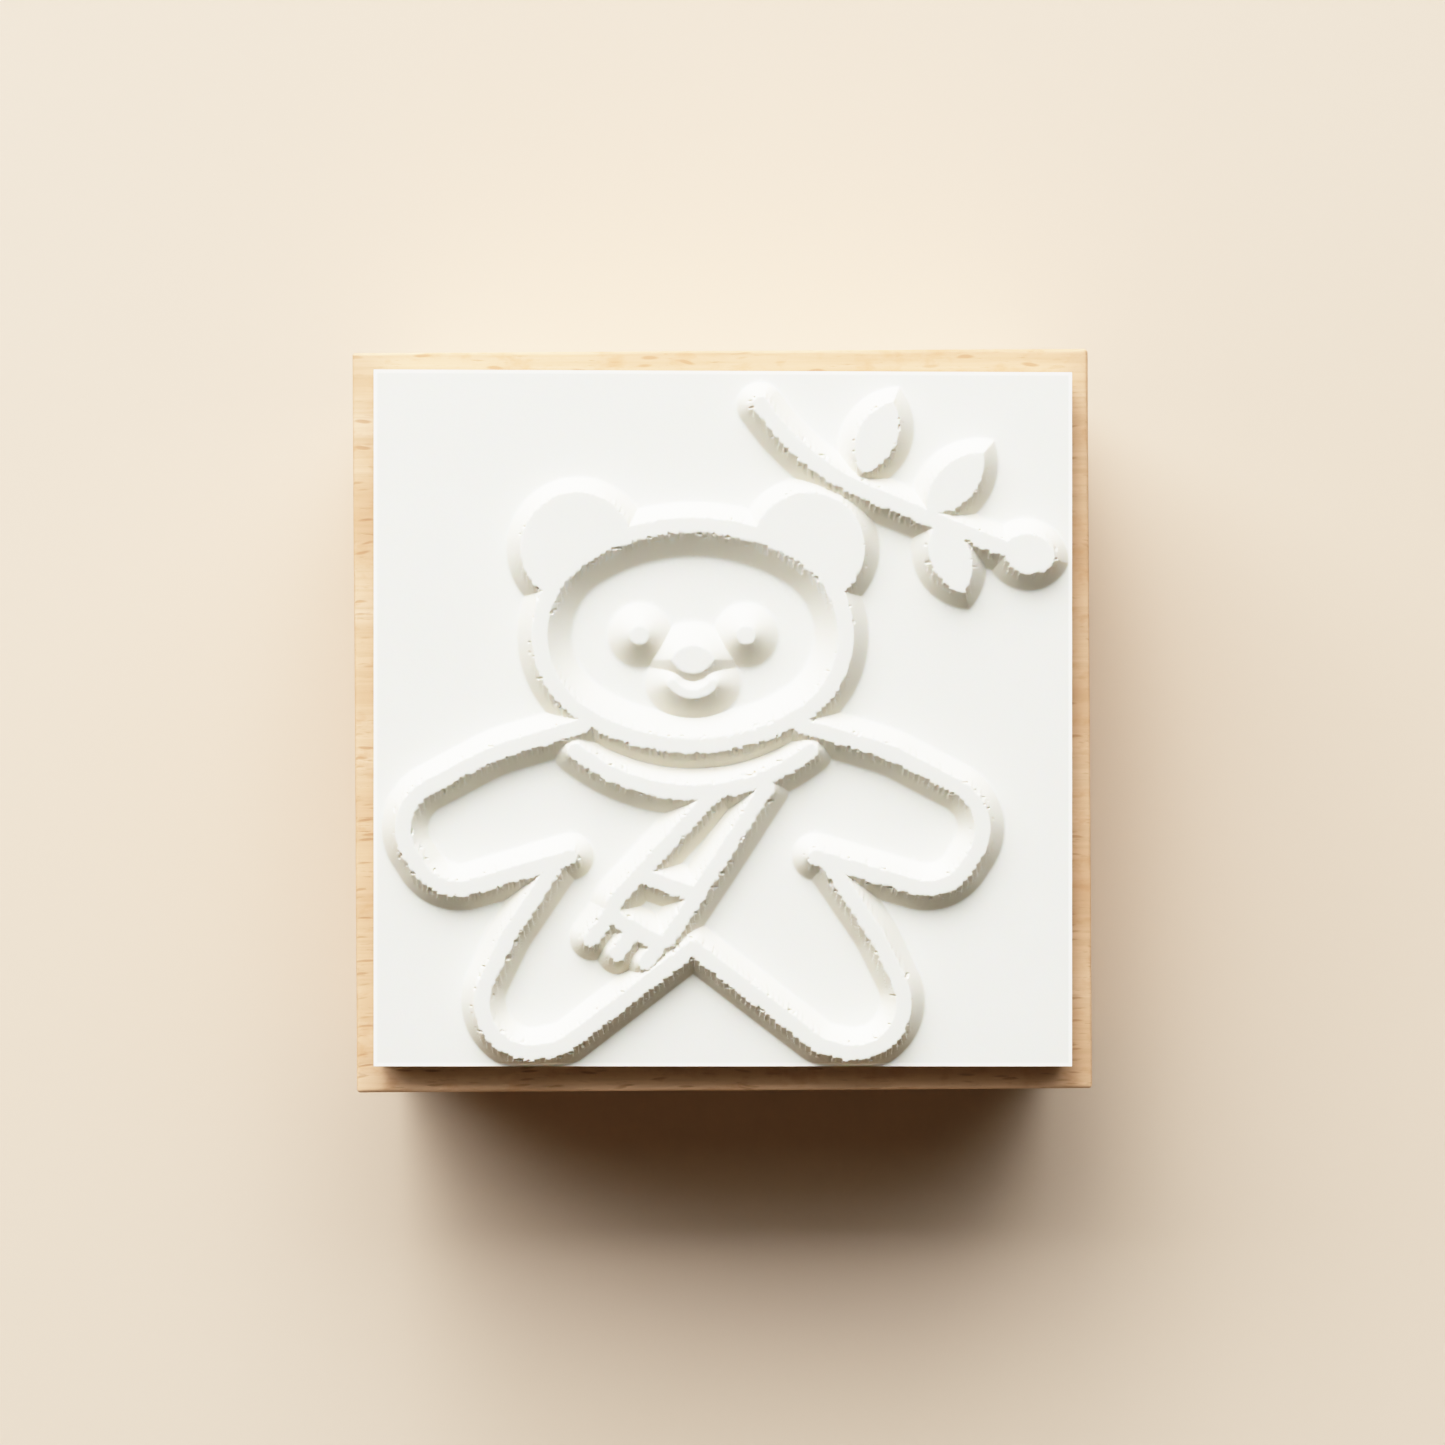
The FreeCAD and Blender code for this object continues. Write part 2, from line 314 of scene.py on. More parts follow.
# ---------------------------------------------------------------------------
# floor
# ---------------------------------------------------------------------------
def make_floor():
    n = 24
    size = 12.0
    g = np.linspace(-size, size, n + 1)
    verts = [(x, y, 0.0) for y in g for x in g]
    faces = [(j * (n + 1) + i, j * (n + 1) + i + 1, (j + 1) * (n + 1) + i + 1, (j + 1) * (n + 1) + i)
             for j in range(n) for i in range(n)]
    ob = new_object("floor", verts, faces)
    m = Mat("pale_floor")
    v = m.scale(1, 1, 1)
    soft = m.noise(v, scale=9.0, detail=3.0, rough=0.5)
    col = m.ramp(soft, [(0.3, (0.715, 0.588, 0.470)), (0.7, (0.745, 0.618, 0.500))])
    m.b.inputs["Roughness"].default_value = 1.0
    m.b.inputs["Specular IOR Level"].default_value = 0.0
    # well outside the ground around the stamp the floor fades from lit to a fixed pale
    # tone, which it keeps to the horizon
    fx, fy = m.split(v)[:2]
    far = m.math("SQRT", m.math("ADD", m.math("MULTIPLY", fx, fx), m.math("MULTIPLY", fy, fy)))
    m.b.inputs["Emission Color"].default_value = (0.93, 0.79, 0.61, 1)
    away = m.fit(far, 0.14, 0.78, 0.0, 1.0, True)
    m.link(away, m.b.inputs["Emission Strength"])
    m.link(m.mix(away, col, (0.0, 0.0, 0.0)), m.b.inputs["Base Color"])
    ob.data.materials.append(m.m)


make_floor()


# ---------------------------------------------------------------------------
# value noise on the plane, seeded
# ---------------------------------------------------------------------------
def lattice_noise(x, y, px, py, seed):
    """Smooth noise from -1 to 1 with lattice spacing px, py."""
    rng = np.random.RandomState(seed)
    gx, gy = x / px, y / py
    x0, y0 = np.floor(gx).astype(int), np.floor(gy).astype(int)
    fx_, fy_ = gx - x0, gy - y0
    ox, oy = x0.min(), y0.min()
    table = rng.uniform(-1, 1, (y0.max() - oy + 3, x0.max() - ox + 3))
    sx = fx_ * fx_ * (3 - 2 * fx_)
    sy = fy_ * fy_ * (3 - 2 * fy_)
    i, j = x0 - ox, y0 - oy
    a = table[j, i] * (1 - sx) + table[j, i + 1] * sx
    b = table[j + 1, i] * (1 - sx) + table[j + 1, i + 1] * sx
    return a * (1 - sy) + b * sy


# ---------------------------------------------------------------------------
# artwork: the same arcs, runs and solid areas as the CAD die
# ---------------------------------------------------------------------------
def oval_arcs(c, a, b, r1):
    c1 = a - r1
    k = b - r1
    c2 = (c1 * c1 - k * k) / (2 * k)
    r2 = b + c2
    t = math.degrees(math.atan2(c2, c1))
    x, y = c
    return [("arc", (x + c1, y), r1, -t, t), ("arc", (x, y - c2), r2, t, 180 - t),
            ("arc", (x - c1, y), r1, 180 - t, 180 + t), ("arc", (x, y + c2), r2, 180 + t, 360 - t)], c1, c2, r2, t


def mirror_x(chain):
    out = []
    for s in chain:
        if s[0] == "line":
            out.append(("line", (2 * FX - s[1][0], s[1][1]), (2 * FX - s[2][0], s[2][1])))
        else:
            out.append(("arc", (2 * FX - s[1][0], s[1][1]), s[2], 180 - s[4], 180 - s[3]))
    return out


def fillet_chain(points):
    segs = []
    p = points
    start = (p[0][0], p[0][1])
    for i in range(1, len(p) - 1):
        ax, ay = p[i - 1][0], p[i - 1][1]
        bx, by, r = p[i]
        cx, cy = p[i + 1][0], p[i + 1][1]
        ux, uy = bx - ax, by - ay
        vx, vy = cx - bx, cy - by
        lu, lv = math.hypot(ux, uy), math.hypot(vx, vy)
        ux, uy, vx, vy = ux / lu, uy / lu, vx / lv, vy / lv
        turn = math.atan2(ux * vy - uy * vx, ux * vx + uy * vy)
        cut = r * math.tan(abs(turn) / 2)
        t0 = (bx - ux * cut, by - uy * cut)
        t1 = (bx + vx * cut, by + vy * cut)
        side = 1 if turn > 0 else -1
        c = (t0[0] - uy * r * side, t0[1] + ux * r * side)
        a0 = math.degrees(math.atan2(t0[1] - c[1], t0[0] - c[0]))
        a1 = a0 + math.degrees(turn)
        if math.hypot(t0[0] - start[0], t0[1] - start[1]) > 1e-6:
            segs.append(("line", start, t0))
        segs.append(("arc", c, r, min(a0, a1), max(a0, a1)))
        start = t1
    end = (p[-1][0], p[-1][1])
    if math.hypot(end[0] - start[0], end[1] - start[1]) > 1e-6:
        segs.append(("line", start, end))
    return segs


HEAD_C = (FX, 5.5)
HEAD_A, HEAD_B, HEAD_R1 = 10.2, 7.35, 6.2
head, OV_C1, OV_C2, OV_R2, OV_T = oval_arcs(HEAD_C, HEAD_A, HEAD_B, HEAD_R1)
EAR_R, EAR_DX, EAR_Y = 3.75, 7.7, 11.3
EYE_R, EYE_DX, EYE_Y = 0.62, 3.55, 5.5
NOSE_L, NOSE_W, NOSE_Y = 2.9, 1.9, 3.9
MOUTH = ("arc", (FX, 3.35), 1.75, 218.0, 322.0)
MOUTH_W = 0.62
arm = fillet_chain([(FX + 7.3, -0.55, 0), (FX + 13.2, -2.3, 9.0), (FX + 20.6, -6.2, 3.1),
                    (FX + 17.0, -11.9, 3.1), (FX + 8.2, -9.3, 0)])
leg = fillet_chain([(FX + 9.15, -9.85, 0), (FX + 12.3, -14.6, 9.0), (FX + 16.6, -23.6, 3.3),
                    (FX + 8.6, -21.9, 3.3), (FX + 0.0, -15.3, 0)])
scarf_edge = [("arc", (FX, 7.6), 12.55, 231.5, 308.5)]
scarf_tail = fillet_chain([(FX + 1.5, -5.0, 0), (FX - 5.9, -13.0, 0.9), (FX - 1.9, -15.2, 0.9), (FX + 4.9, -4.7, 0)])
scarf_stripe = [("line", (FX - 3.35, -10.55), (FX + 0.05, -11.75))]
scarf_fringe = [[("line", (FX - 5.45, -13.0), (FX - 6.75, -14.75))],
                [("line", (FX - 3.9, -14.2), (FX - 5.0, -15.7))],
                [("line", (FX - 2.2, -15.0), (FX - 3.1, -16.3))]]
twig_stem = fillet_chain([(2.5, 20.9, 0), (5.6, 16.6, 16.0), (19.6, 10.9, 0)])
LEAF_W = 2.7
LEAVES = [(18.6, 11.3, -12.0, 3.6), (13.6, 13.5, 48.0, 5.6), (9.2, 16.3, 66.0, 5.2), (14.2, 13.0, -68.0, 5.0)]


def d_line(x, y, p, q):
    dx, dy = q[0] - p[0], q[1] - p[1]
    t = np.clip(((x - p[0]) * dx + (y - p[1]) * dy) / (dx * dx + dy * dy), 0, 1)
    return np.hypot(x - p[0] - t * dx, y - p[1] - t * dy)


def d_arc(x, y, c, r, a0, a1):
    mid = math.radians((a0 + a1) / 2)
    half = math.radians((a1 - a0) / 2)
    dx, dy = x - c[0], y - c[1]
    ang = np.arctan2(dy, dx) - mid
    ang = (ang + math.pi) % (2 * math.pi) - math.pi
    on = np.abs(np.hypot(dx, dy) - r)
    e = []
    for a in (a0, a1):
        a = math.radians(a)
        e.append(np.hypot(x - c[0] - r * math.cos(a), y - c[1] - r * math.sin(a)))
    return np.where(np.abs(ang) <= half, on, np.minimum(e[0], e[1]))


def d_seg(x, y, s):
    return d_line(x, y, s[1], s[2]) if s[0] == "line" else d_arc(x, y, s[1], s[2], s[3], s[4])


def d_lens(x, y, p, direction, length, width):
    s = width / 2
    r = (length * length / 4 + s * s) / (2 * s)
    t = math.radians(direction)
    mx, my = p[0] + math.cos(t) * length / 2, p[1] + math.sin(t) * length / 2
    nx, ny = -math.sin(t), math.cos(t)
    a = np.hypot(x - mx - nx * (r - s), y - my - ny * (r - s)) - r
    b = np.hypot(x - mx + nx * (r - s), y - my + ny * (r - s)) - r
    return np.maximum(a, b)


def oval_signed(x, y):
    d = np.full(x.shape, 1e9)
    for s in head:
        d = np.minimum(d, d_seg(x, y, s))
    xx, yy = x - HEAD_C[0], y - HEAD_C[1]
    xt = OV_C1 + HEAD_R1 * math.cos(math.radians(OV_T))
    big = (np.hypot(xx, yy + OV_C2) <= OV_R2) & (np.hypot(xx, yy - OV_C2) <= OV_R2)
    small = np.hypot(np.abs(xx) - OV_C1, yy) <= HEAD_R1
    inside = np.where(np.abs(xx) > xt, small, big)
    return np.where(inside, -d, d)


def art_distance(x, y):
    """Distance outwards from the flat tops: of the lines, and of all."""
    lines = np.full(x.shape, 1e9)
    for chain in [head, arm, mirror_x(arm), leg, mirror_x(leg), scarf_edge, scarf_tail, scarf_stripe, twig_stem] + scarf_fringe:
        for s in chain:
            lines = np.minimum(lines, d_seg(x, y, s) - LINE_W / 2)
    lines = np.minimum(lines, d_seg(x, y, MOUTH) - MOUTH_W / 2)
    areas = np.full(x.shape, 1e9)
    face = oval_signed(x, y) + LINE_W / 2          # below zero inside the face's hollow
    for side in (-1, 1):
        ear = np.hypot(x - FX - side * EAR_DX, y - EAR_Y) - EAR_R
        areas = np.minimum(areas, np.maximum(ear, -face))
        areas = np.minimum(areas, np.hypot(x - FX - side * EYE_DX, y - EYE_Y) - EYE_R)
    areas = np.minimum(areas, d_lens(x, y, (FX - NOSE_L / 2, NOSE_Y), 0.0, NOSE_L, NOSE_W))
    for lx, ly, direction, length in LEAVES:
        areas = np.minimum(areas, d_lens(x, y, (lx, ly), direction, length, LEAF_W))
    return np.minimum(lines, areas)


def columns(x, y, pitch, period, seed):
    """Noise from -1 to 1 that is constant across each column of the raster."""
    rng = np.random.RandomState(seed)
    wob = 0.12 * np.sin(y * 1.7 + seed)
    i = np.floor((x + wob) / pitch).astype(int)
    gy = y / period
    j = np.floor(gy).astype(int)
    f = gy - j
    f = f * f * (3 - 2 * f)
    i0, j0 = i.min(), j.min()
    table = rng.uniform(-1, 1, (j.max() - j0 + 2, i.max() - i0 + 1))
    return table[j - j0, i - i0] * (1 - f) + table[j - j0 + 1, i - i0] * f, (i + 0.5) * pitch - wob


def relief(x, y):
    """Height over the engraved field, in mm."""
    d = art_distance(x, y)
    # which way the sides face
    gy = np.gradient(d, axis=0) / np.maximum(np.gradient(y, axis=0), 1e-6)
    gx = np.gradient(d, axis=1) / np.maximum(np.gradient(x, axis=1), 1e-6)
    # ragged top edges, as a laser's raster leaves them: teeth that run along y,
    # stepped on the slanting runs, and that fade down the wall
    c1, xq = columns(x, y, 0.36, 1.9, 11)
    c2, _ = columns(x, y, 0.19, 1.1, 12)
    w3 = lattice_noise(x, y, 0.62, 2.9, 13)
    small = lattice_noise(x, y, 0.30, 0.24, 14)
    slide = 0.105 * c1 + 0.05 * c2 + 0.05 * w3
    south = np.clip(-gy * 1.2, 0, 1)
    ragged = 0.35 + 0.65 * south
    calm = 1 - 0.75 * np.clip((-oval_signed(x, y) - 2.2) / 0.6, 0, 1)
    near = np.clip(1 - np.clip(d, 0, None) / 0.50, 0, 1) ** 0.7 * np.clip(1 + d / 0.5, 0, 1) * calm
    step = np.clip(gx * (xq - x), -0.16, 0.16) * np.clip(np.abs(gy) * 1.6, 0, 1)
    d2 = d + (gy * slide + 0.75 * step) * near * ragged
    pit = np.clip(small - 0.60, 0, 1) * 0.6 * np.clip(1 - np.abs(d2 - 0.06) / 0.33, 0, 1) * calm
    d2 = d2 + pit
    t = np.clip(d2, 0, None)
    # straight shoulder, then a small filleted foot; wider inside the head
    deep = np.clip(-oval_signed(x, y) / 0.5, 0, 1)
    deep = deep * deep * (3 - 2 * deep)
    wide = 0.88 - 0.07 * np.clip((-11.0 - y) / 6.0, 0, 1) + 0.46 * deep
    s0, s1 = 1.06 * wide, 1.30 * wide
    k = RELIEF / ((s0 + s1) / 2)
    h = np.where(t < s0, RELIEF - k * t,
                 np.where(t < s1, k / (2 * (s1 - s0)) * (s1 - t) ** 2, 0.0))
    # the top edge is not quite sharp
    e = 0.045
    h = np.where((d2 > -e) & (d2 < e), RELIEF - k * (d2 + e) ** 2 / (4 * e), h)
    h = np.where(d2 <= -e, RELIEF, h)
    # the foot dies out before the cut edge
    room = np.minimum(DIE_X / 2 - np.abs(x), np.minimum(y + DIE_Y / 2, DIE_Y / 2 - DIE_DROP * (x / DIE_X + 0.5) - y))
    room = np.clip(room / 0.42, 0, 1)
    return h * room * room * (3 - 2 * room)


def outline(u, v):
    """Unit square to the die's own plane: its top edge is out of square."""
    x = -DIE_X / 2 + u * DIE_X
    y = -DIE_Y / 2 + v * (DIE_Y - DIE_DROP * u)
    return x, y


def to_block(x, y):
    c, s = math.cos(DIE_TURN), math.sin(DIE_TURN)
    return x * c - y * s + DIE_DX, x * s + y * c + DIE_DY


def rtin(h, limit):
    """Right-triangle mesh of a square height grid that refines where it must.
    Returns triangles as (a, b, c) grid indices."""
    n = h.shape[0]
    tile = n - 1
    levels = int(round(math.log2(tile))) * 2
    err = np.zeros(n * n)
    hf = h.ravel()
    roots = np.array([[0, 0, tile, tile, tile, 0], [tile, tile, 0, 0, 0, tile]], np.int32)
    stack = [roots]
    for _ in range(levels - 1):
        t = stack[-1]
        ax, ay, bx, by, cx, cy = t.T
        mx, my = (ax + bx) // 2, (ay + by) // 2
        left = np.stack([cx, cy, ax, ay, mx, my], 1)
        right = np.stack([bx, by, cx, cy, mx, my], 1)
        stack.append(np.concatenate([left, right]))
    for lv in range(len(stack) - 1, -1, -1):
        ax, ay, bx, by, cx, cy = stack[lv].T
        mx, my = (ax + bx) // 2, (ay + by) // 2
        m = my * n + mx
        e = np.abs((hf[ay * n + ax] + hf[by * n + bx]) / 2 - hf[m])
        if lv < len(stack) - 1:
            lx, ly = (ax + cx) // 2, (ay + cy) // 2
            rx, ry = (bx + cx) // 2, (by + cy) // 2
            e = np.maximum(e, np.maximum(err[ly * n + lx], err[ry * n + rx]))
        np.maximum.at(err, m, e)
    out = []
    t = roots
    for lv in range(levels + 1):
        ax, ay, bx, by, cx, cy = t.T
        mx, my = (ax + bx) // 2, (ay + by) // 2
        split = ((np.abs(ax - cx) + np.abs(ay - cy)) > 1) & (err[my * n + mx] > limit)
        out.append(t[~split])
        t = t[split]
        if not len(t):
            break
        ax, ay, bx, by, cx, cy = t.T
        mx, my = (ax + bx) // 2, (ay + by) // 2
        t = np.concatenate([np.stack([cx, cy, ax, ay, mx, my], 1), np.stack([bx, by, cx, cy, mx, my], 1)])
    t = np.concatenate(out)
    return np.stack([t[:, 1] * n + t[:, 0], t[:, 3] * n + t[:, 2], t[:, 5] * n + t[:, 4]], 1)


def make_die():
    n = 1025
    g = np.linspace(0, 1, n)
    u, v = np.meshgrid(g, g)
    x, y = outline(u, v)
    h = relief(x, y)
    tris = rtin(h, 0.011)
    used = np.unique(tris)
    index = np.full(n * n, -1)
    index[used] = np.arange(len(used))
    tris = index[tris]
    bx, by = to_block(x.ravel()[used], y.ravel()[used])
    top = np.stack([bx, by, Z_FIELD + h.ravel()[used]], 1)
    # wind upwards
    a, b, c = (top[tris[:, i]] for i in range(3))
    up = np.cross(b - a, c - a)[:, 2] > 0
    tris[~up] = tris[~up][:, ::-1]
    # walls: knife-cut, so slightly uneven and a touch wider at the foot
    uu, vv = u.ravel()[used], v.ravel()[used]
    ids = np.arange(len(used))
    loop, outward = [], []
    for mask, key, way in ((vv == 0, uu, (0, -1)), (uu == 1, vv, (1, 0)), (vv == 1, -uu, (0, 1)), (uu == 0, -vv, (-1, 0))):
        side = ids[mask][np.argsort(key[mask])]
        loop += list(side[:-1])
        outward += [way] * (len(side) - 1)
    loop = np.array(loop)
    outward = np.array(outward, float)
    k = len(loop)
    rows = 4
    verts = [top]
    base = len(top)
    zt = top[loop, 2]
    run = np.cumsum(np.r_[0, np.linalg.norm(np.diff(top[loop][:, :2], axis=0), axis=1)])
    for r in range(1, rows + 1):
        ring = top[loop].copy()
        ring[:, 2] = zt + (Z_DIE - zt) * r / rows
        cut = 0.012 * lattice_noise(run, ring[:, 2] * 0.4, 0.8, 0.9, 51) + 0.010 * r / rows
        ring[:, :2] += outward * cut[:, None]
        verts.append(ring)
    verts = np.concatenate(verts) * MM
    quads = []
    prev = loop
    for r in range(rows):
        cur = base + r * k + np.arange(k)
        nxt = np.roll(np.arange(k), -1)
        quads += [(int(prev[i]), int(cur[i]), int(cur[j]), int(prev[j])) for i, j in enumerate(nxt)]
        prev = cur
    bottom = [tuple(int(i) for i in prev[::-1])]
    faces = [tuple(int(i) for i in t) for t in tris] + quads + bottom
    ob = new_object("engraved_rubber_die", verts, faces)
    # keep the cut edges crisp: sides, face and underside are shaded apart
    group = np.zeros(len(faces), int)
    side_of = np.argmax(np.stack([outward[:, 1] < 0, outward[:, 0] > 0, outward[:, 1] > 0, outward[:, 0] < 0], 1), 1) + 1
    group[len(tris):len(tris) + rows * k] = np.tile(side_of, rows)
    group[-1] = 5
    bm = bmesh.new()
    bm.from_mesh(ob.data)
    bm.faces.ensure_lookup_table()
    for f in bm.faces[len(tris):]:
        for e in f.edges:
            if len({group[g.index] for g in e.link_faces}) > 1:
                e.smooth = False
    bm.to_mesh(ob.data)
    bm.free()
    # one flat layout: the face from above, the four sides as strips, the underside small
    me = ob.data
    nl = len(me.loops)
    vi = np.empty(nl, np.int32)
    me.loops.foreach_get("vertex_index", vi)
    co = verts[vi] / MM
    uv = 0.004 + (co[:, :2] + 23.8) / 47.6 * 0.915
    first = 3 * len(tris)
    along = np.zeros(k)
    step = np.linalg.norm(np.roll(top[loop][:, :2], -1, axis=0) - top[loop][:, :2], axis=1)
    for s in range(1, 5):
        on = side_of == s
        along[on] = np.cumsum(step[on]) - step[on]
    f0 = 0.004 + along / 47.6 * 0.915
    f1 = f0 + step / 47.6 * 0.915
    for r in range(rows):
        va = 0.925 + (side_of - 1) * 0.0185 + (rows - r) / rows * 0.016
        vb = va - 0.016 / rows
        quad = np.stack([f0, va, f0, vb, f1, vb, f1, va], 1).reshape(-1, 2)
        uv[first + 4 * k * r:first + 4 * k * (r + 1)] = quad
    last = first + 4 * k * rows
    uv[last:] = np.array([0.93, 0.004]) + (co[last:, :2] + 23.8) / 47.6 * 0.06
    layer = me.uv_layers.new(name="OFBake")
    layer.data.foreach_set("uv", uv.astype(np.float32).ravel())
    print("die faces", len(faces), "verts", len(verts), "wall columns", k, flush=True)
    return ob


def rubber_material():
    m = Mat("white_rubber")
    mm = m.scale(1000, 1000, 1000)
    soft = m.noise(mm, scale=0.12, detail=3.0, rough=0.55)
    fine = m.noise(mm, scale=2.6, detail=4.0, rough=0.6)
    col = m.ramp(soft, [(0.3, (0.812, 0.812, 0.762)), (0.7, (0.826, 0.826, 0.780))])
    col = m.mix(m.fit(fine, 0.35, 0.75, 0.0, 0.10), col, (0.775, 0.765, 0.715))
    # painted warm shade: the slopes are tinted creamier than the flats, most of all on the sides that face -Y, away
    # from the lights
    nrm3 = m.split(m.geo_normal())
    slope = m.fit(nrm3[2], 0.72, 0.95, 1.0, 0.0, True)
    shade_side_weight = m.fit(nrm3[1], -0.70, 0.10, 0.70, 0.28, True)     # most on the sides that face -Y
    col = m.mix(m.math("MULTIPLY", slope, shade_side_weight), col, (0.820, 0.750, 0.615))
    # painted shade: the slopes that face -Y, away from the lights, are darkened to brown, most towards the bottom of
    # the die
    painted_shade_low = m.math("MULTIPLY", m.fit(m.split(mm)[1], -20.5, -6.0, 1.0, 0.0, True), m.fit(nrm3[1], -0.66, -0.30, 1.0, 0.0, True))
    painted_shade_low = m.math("MULTIPLY", m.math("MULTIPLY", painted_shade_low, slope), m.fit(fine, 0.3, 0.7, 0.42, 0.62))
    col = m.mix(painted_shade_low, col, (0.47, 0.375, 0.26))
    # painted highlight: a lighter line along the cut edges of the sheet, where the edges catch the light
    q = m.scale(1000, 1000, 1000, rot=(0, 0, -DIE_TURN), loc=(-DIE_DX, -DIE_DY, 0))
    qx, qy, qz = m.split(q)[:3]
    top = m.math("SUBTRACT", DIE_Y / 2 - DIE_DROP / 2, m.math("MULTIPLY", qx, DIE_DROP / DIE_X))
    edge_highlight_dist = m.math("MINIMUM", m.math("SUBTRACT", DIE_X / 2, m.math("ABSOLUTE", qx)),
                 m.math("MINIMUM", m.math("SUBTRACT", top, qy), m.math("ADD", qy, DIE_Y / 2)))
    col = m.mix(m.fit(edge_highlight_dist, 0.16, 0.30, 0.9, 0.0, True), col, (0.97, 0.95, 0.905))
    m.link(col, m.b.inputs["Base Color"])
    m.b.inputs["Subsurface Weight"].default_value = 0.13
    m.b.inputs["Subsurface Radius"].default_value = (1.0, 0.50, 0.20)
    m.b.inputs["Subsurface Scale"].default_value = 0.00050
    rough = m.fit(fine, 0.3, 0.7, 0.52, 0.62)
    m.link(rough, m.b.inputs["Roughness"])
    m.b.inputs["Specular IOR Level"].default_value = 0.35
    lines = m.noise(m.scale(350, 7000, 1000), scale=1.0, detail=1.0)
    nrm = m.bump(lines, 0.000004, 0.5)
    nrm = m.bump(fine, 0.000012, 0.6, nrm)
    m.link(nrm, m.b.inputs["Normal"])
    return m.m


die_ob = make_die()
die_ob.data.materials.append(rubber_material())
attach(die_ob, "root")
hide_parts("rubber_die")


# ---------------------------------------------------------------------------
# wooden block
# ---------------------------------------------------------------------------
def graded(lo, hi, edge, n_edge, n_mid):
    """Stations from lo to hi, close together near both ends."""
    a = lo + np.linspace(0, edge, n_edge)
    b = np.linspace(lo + edge, hi - edge, n_mid)
    c = hi - np.linspace(edge, 0, n_edge)
    return np.unique(np.round(np.concatenate([a, b, c]), 6))


def smooth_noise3(p, period, seed):
    """Cheap smooth noise from -1 to 1 made of a few seeded waves."""
    rng = np.random.RandomState(seed)
    total = np.zeros(len(p))
    for _ in range(6):
        k = rng.normal(size=3)
        k /= np.linalg.norm(k)
        f = 2 * math.pi / period * rng.uniform(0.6, 1.6)
        total += np.sin(p @ k * f + rng.uniform(0, 2 * math.pi))
    return total / 3.0


def make_block():
    lo, hi = blk
    xs = graded(lo[0], hi[0], 0.5, 9, 70)
    ys = graded(lo[1], hi[1], 0.5, 9, 70)
    zs = graded(lo[2], hi[2], 0.5, 9, 34)
    bm = {}
    verts, faces = [], []

    def vid(p):
        key = (round(p[0], 5), round(p[1], 5), round(p[2], 5))
        if key not in bm:
            bm[key] = len(verts)
            verts.append(key)
        return bm[key]

    def sheet(aa, bb, make, flip):
        for i in range(len(aa) - 1):
            for j in range(len(bb) - 1):
                q = [vid(make(aa[i], bb[j])), vid(make(aa[i + 1], bb[j])),
                     vid(make(aa[i + 1], bb[j + 1])), vid(make(aa[i], bb[j + 1]))]
                faces.append(tuple(q[::-1] if flip else q))

    sheet(xs, ys, lambda a, b: (a, b, hi[2]), False)
    sheet(xs, ys, lambda a, b: (a, b, lo[2]), True)
    sheet(xs, zs, lambda a, b: (a, lo[1], b), False)
    sheet(xs, zs, lambda a, b: (a, hi[1], b), True)
    sheet(ys, zs, lambda a, b: (hi[0], a, b), False)
    sheet(ys, zs, lambda a, b: (lo[0], a, b), True)
    p = np.array(verts)
    r = EDGE_R + 0.07 * smooth_noise3(p, 17.0, 5) + 0.04 * smooth_noise3(p, 4.0, 6)
    r = np.clip(r, 0.14, 0.42)[:, None]
    q = np.clip(p, lo + r, hi - r)
    d = p - q
    n = np.linalg.norm(d, axis=1, keepdims=True)
    p = q + d / np.maximum(n, 1e-9) * r
    ob = new_object("beech_block", p * MM, faces)
    return ob


